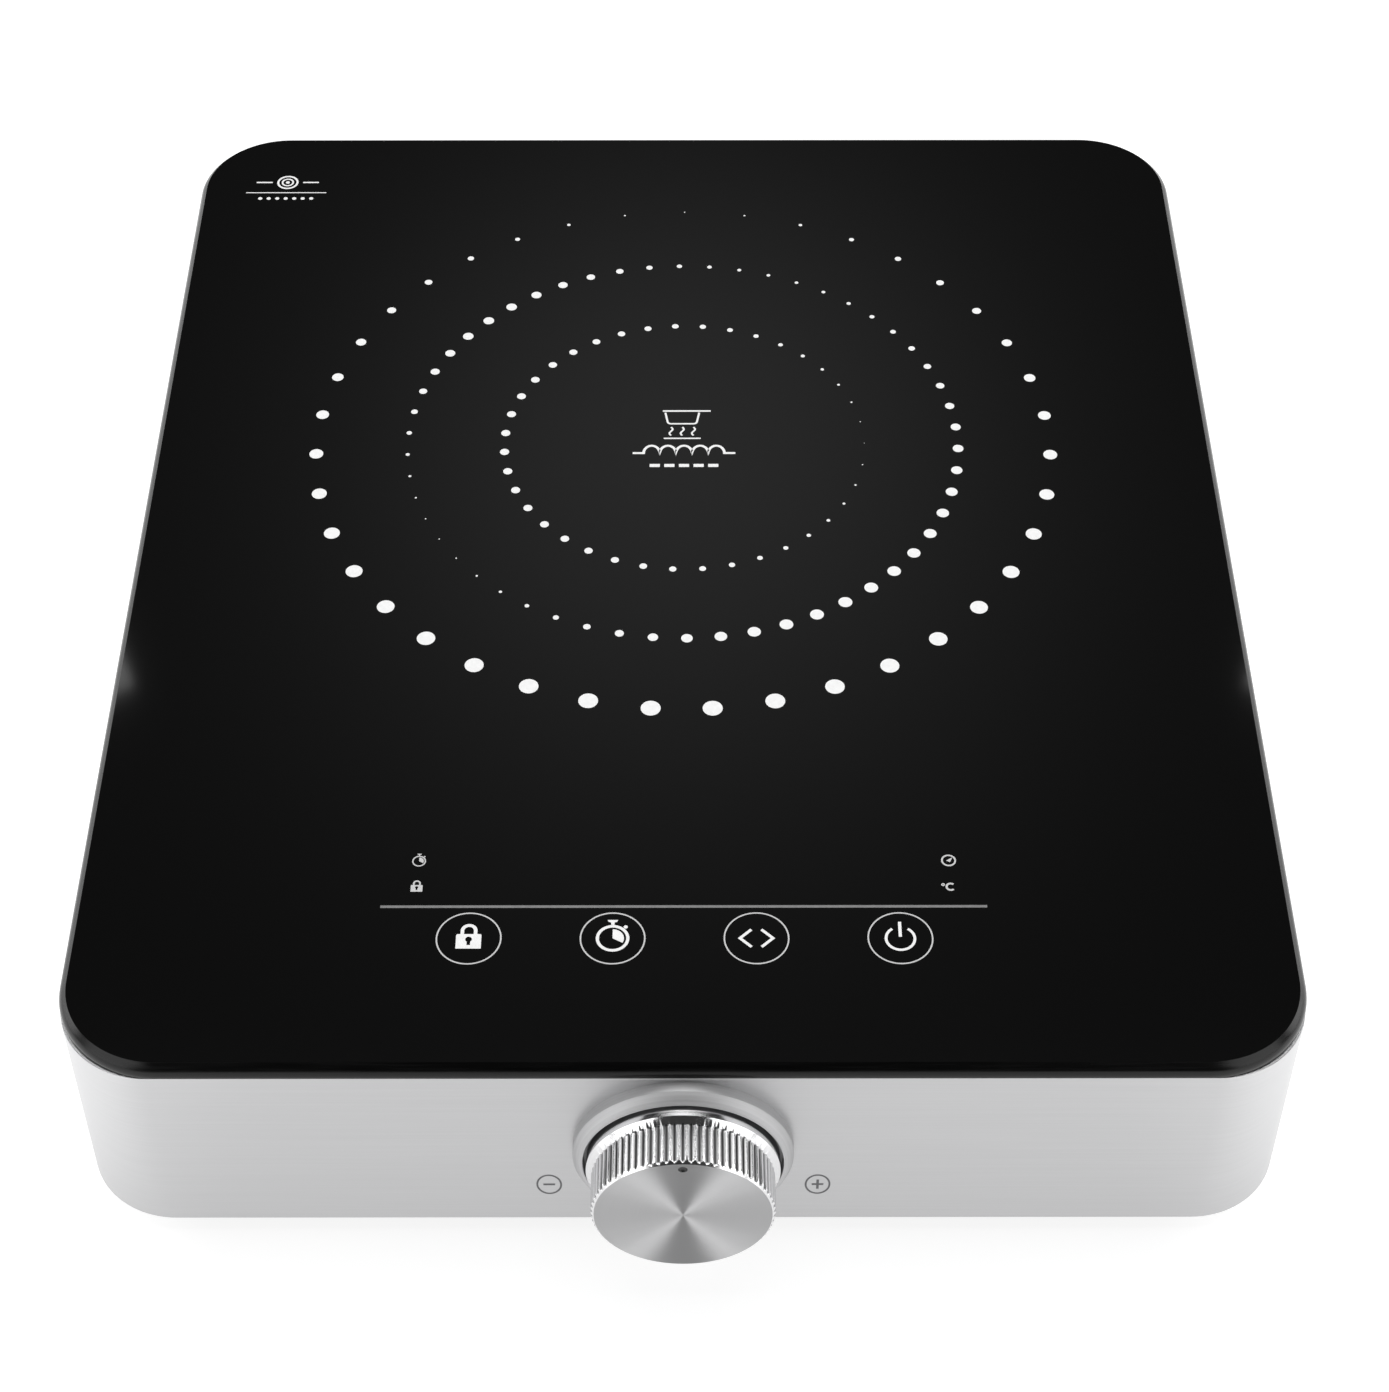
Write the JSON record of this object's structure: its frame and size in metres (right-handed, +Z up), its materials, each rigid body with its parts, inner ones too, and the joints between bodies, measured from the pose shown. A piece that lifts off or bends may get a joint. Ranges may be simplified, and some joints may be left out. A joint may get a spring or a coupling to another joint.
{
  "type": "induction hob",
  "caption": "Portable induction hob: a black glass plate on a brushed metal hoop with a knurled knob in front, touch keys, a coil, a fan and electronics inside.",
  "frame": {"origin": "under the middle of the whole hob, knob and rear bush included, on the surface it stands on", "axes": "+Z up, +Y to the back, the knob points along -Y, +X to the right seen from the front"},
  "size_m": [0.291, 0.371, 0.067],
  "materials": {
    "glass": "polished black glass-ceramic",
    "silicone": "matt silicone",
    "black_moulding": "fine spark-eroded grain",
    "brushed_band": "brushed lengthwise",
    "turned_aluminium": "turned and knurled",
    "rubber": "matt",
    "steel_hardware": "zinc plated",
    "white_moulding": "glass-filled, matt",
    "grey_moulding": "moulded",
    "black_plastic": "moulded",
    "circuit_board": "green solder mask",
    "light_guide": "clear",
    "spring_steel": "tinned",
    "copper": "enamelled copper",
    "ferrite": "sintered",
    "bare_aluminium": "mill finish",
    "mica": "pearly sheet",
    "sensor_glass": "glass bead",
    "film_capacitor": "moulded box",
    "transformer_tape": "polyester tape",
    "fuse": "ceramic tube",
    "brass": "tin plated",
    "wire_sleeve": "woven glass sleeve"
  },
  "bodies": {
    "root": {"glass_plate": "glass", "glass_seal": "silicone", "top_frame": "black_moulding", "shell_band": "brushed_band", "exhaust_grille": "black_moulding", "base_tray": "black_moulding", "base_screws": "steel_hardware", "cord_inlet_bush": "rubber", "knob_bezel": "turned_aluminium", "encoder_body": "black_plastic", "encoder_washer": "steel_hardware", "encoder_nut": "steel_hardware", "encoder_board": "circuit_board", "control_board": "circuit_board", "control_carrier": "white_moulding", "display_module": "black_plastic", "indicator_lights": "light_guide", "touch_springs": "spring_steel", "control_chips": "black_plastic", "coil_winding": "copper", "coil_former": "white_moulding", "ferrite_bars": "ferrite", "coil_shield": "bare_aluminium", "coil_spacers": "steel_hardware", "coil_screws": "steel_hardware", "coil_insulation": "mica", "sensor_cap": "silicone", "heat_sensor": "sensor_glass", "power_board": "circuit_board", "board_screws": "steel_hardware", "heatsink": "bare_aluminium", "power_switch": "black_plastic", "bridge_rectifier": "black_plastic", "resonant_capacitor": "film_capacitor", "smoothing_capacitor": "film_capacitor", "filter_capacitor": "film_capacitor", "supply_transformer": "transformer_tape", "filter_choke": "ferrite", "mains_fuse": "fuse", "sounder": "black_plastic", "lead_terminals": "brass", "fan_frame": "black_plastic", "fan_bearing": "brass", "fan_stator": "copper", "fan_screws": "steel_hardware", "coil_leads": "wire_sleeve", "fan_lead": "wire_sleeve", "control_harness": "wire_sleeve", "sensor_lead": "wire_sleeve", "foot_front_left": "rubber", "foot_back_left": "rubber", "foot_front_right": "rubber", "foot_back_right": "rubber"},
    "knob": {"knob_cap": "turned_aluminium", "knob_core": "grey_moulding", "encoder_shaft": "steel_hardware"},
    "fan": {"fan_rotor": "black_plastic", "fan_magnet": "ferrite"}
  },
  "joints": [
    {"name": "knob_turn", "type": "hinge", "parent": "root", "child": "knob", "pos_m": [0, -0.1665, 0.0355], "axis": [0, -1, 0], "continuous": true},
    {"name": "fan_spin", "type": "hinge", "parent": "root", "child": "fan", "pos_m": [0.066, -0.0435, 0.02], "axis": [0, 0, 1], "continuous": true}
  ]
}
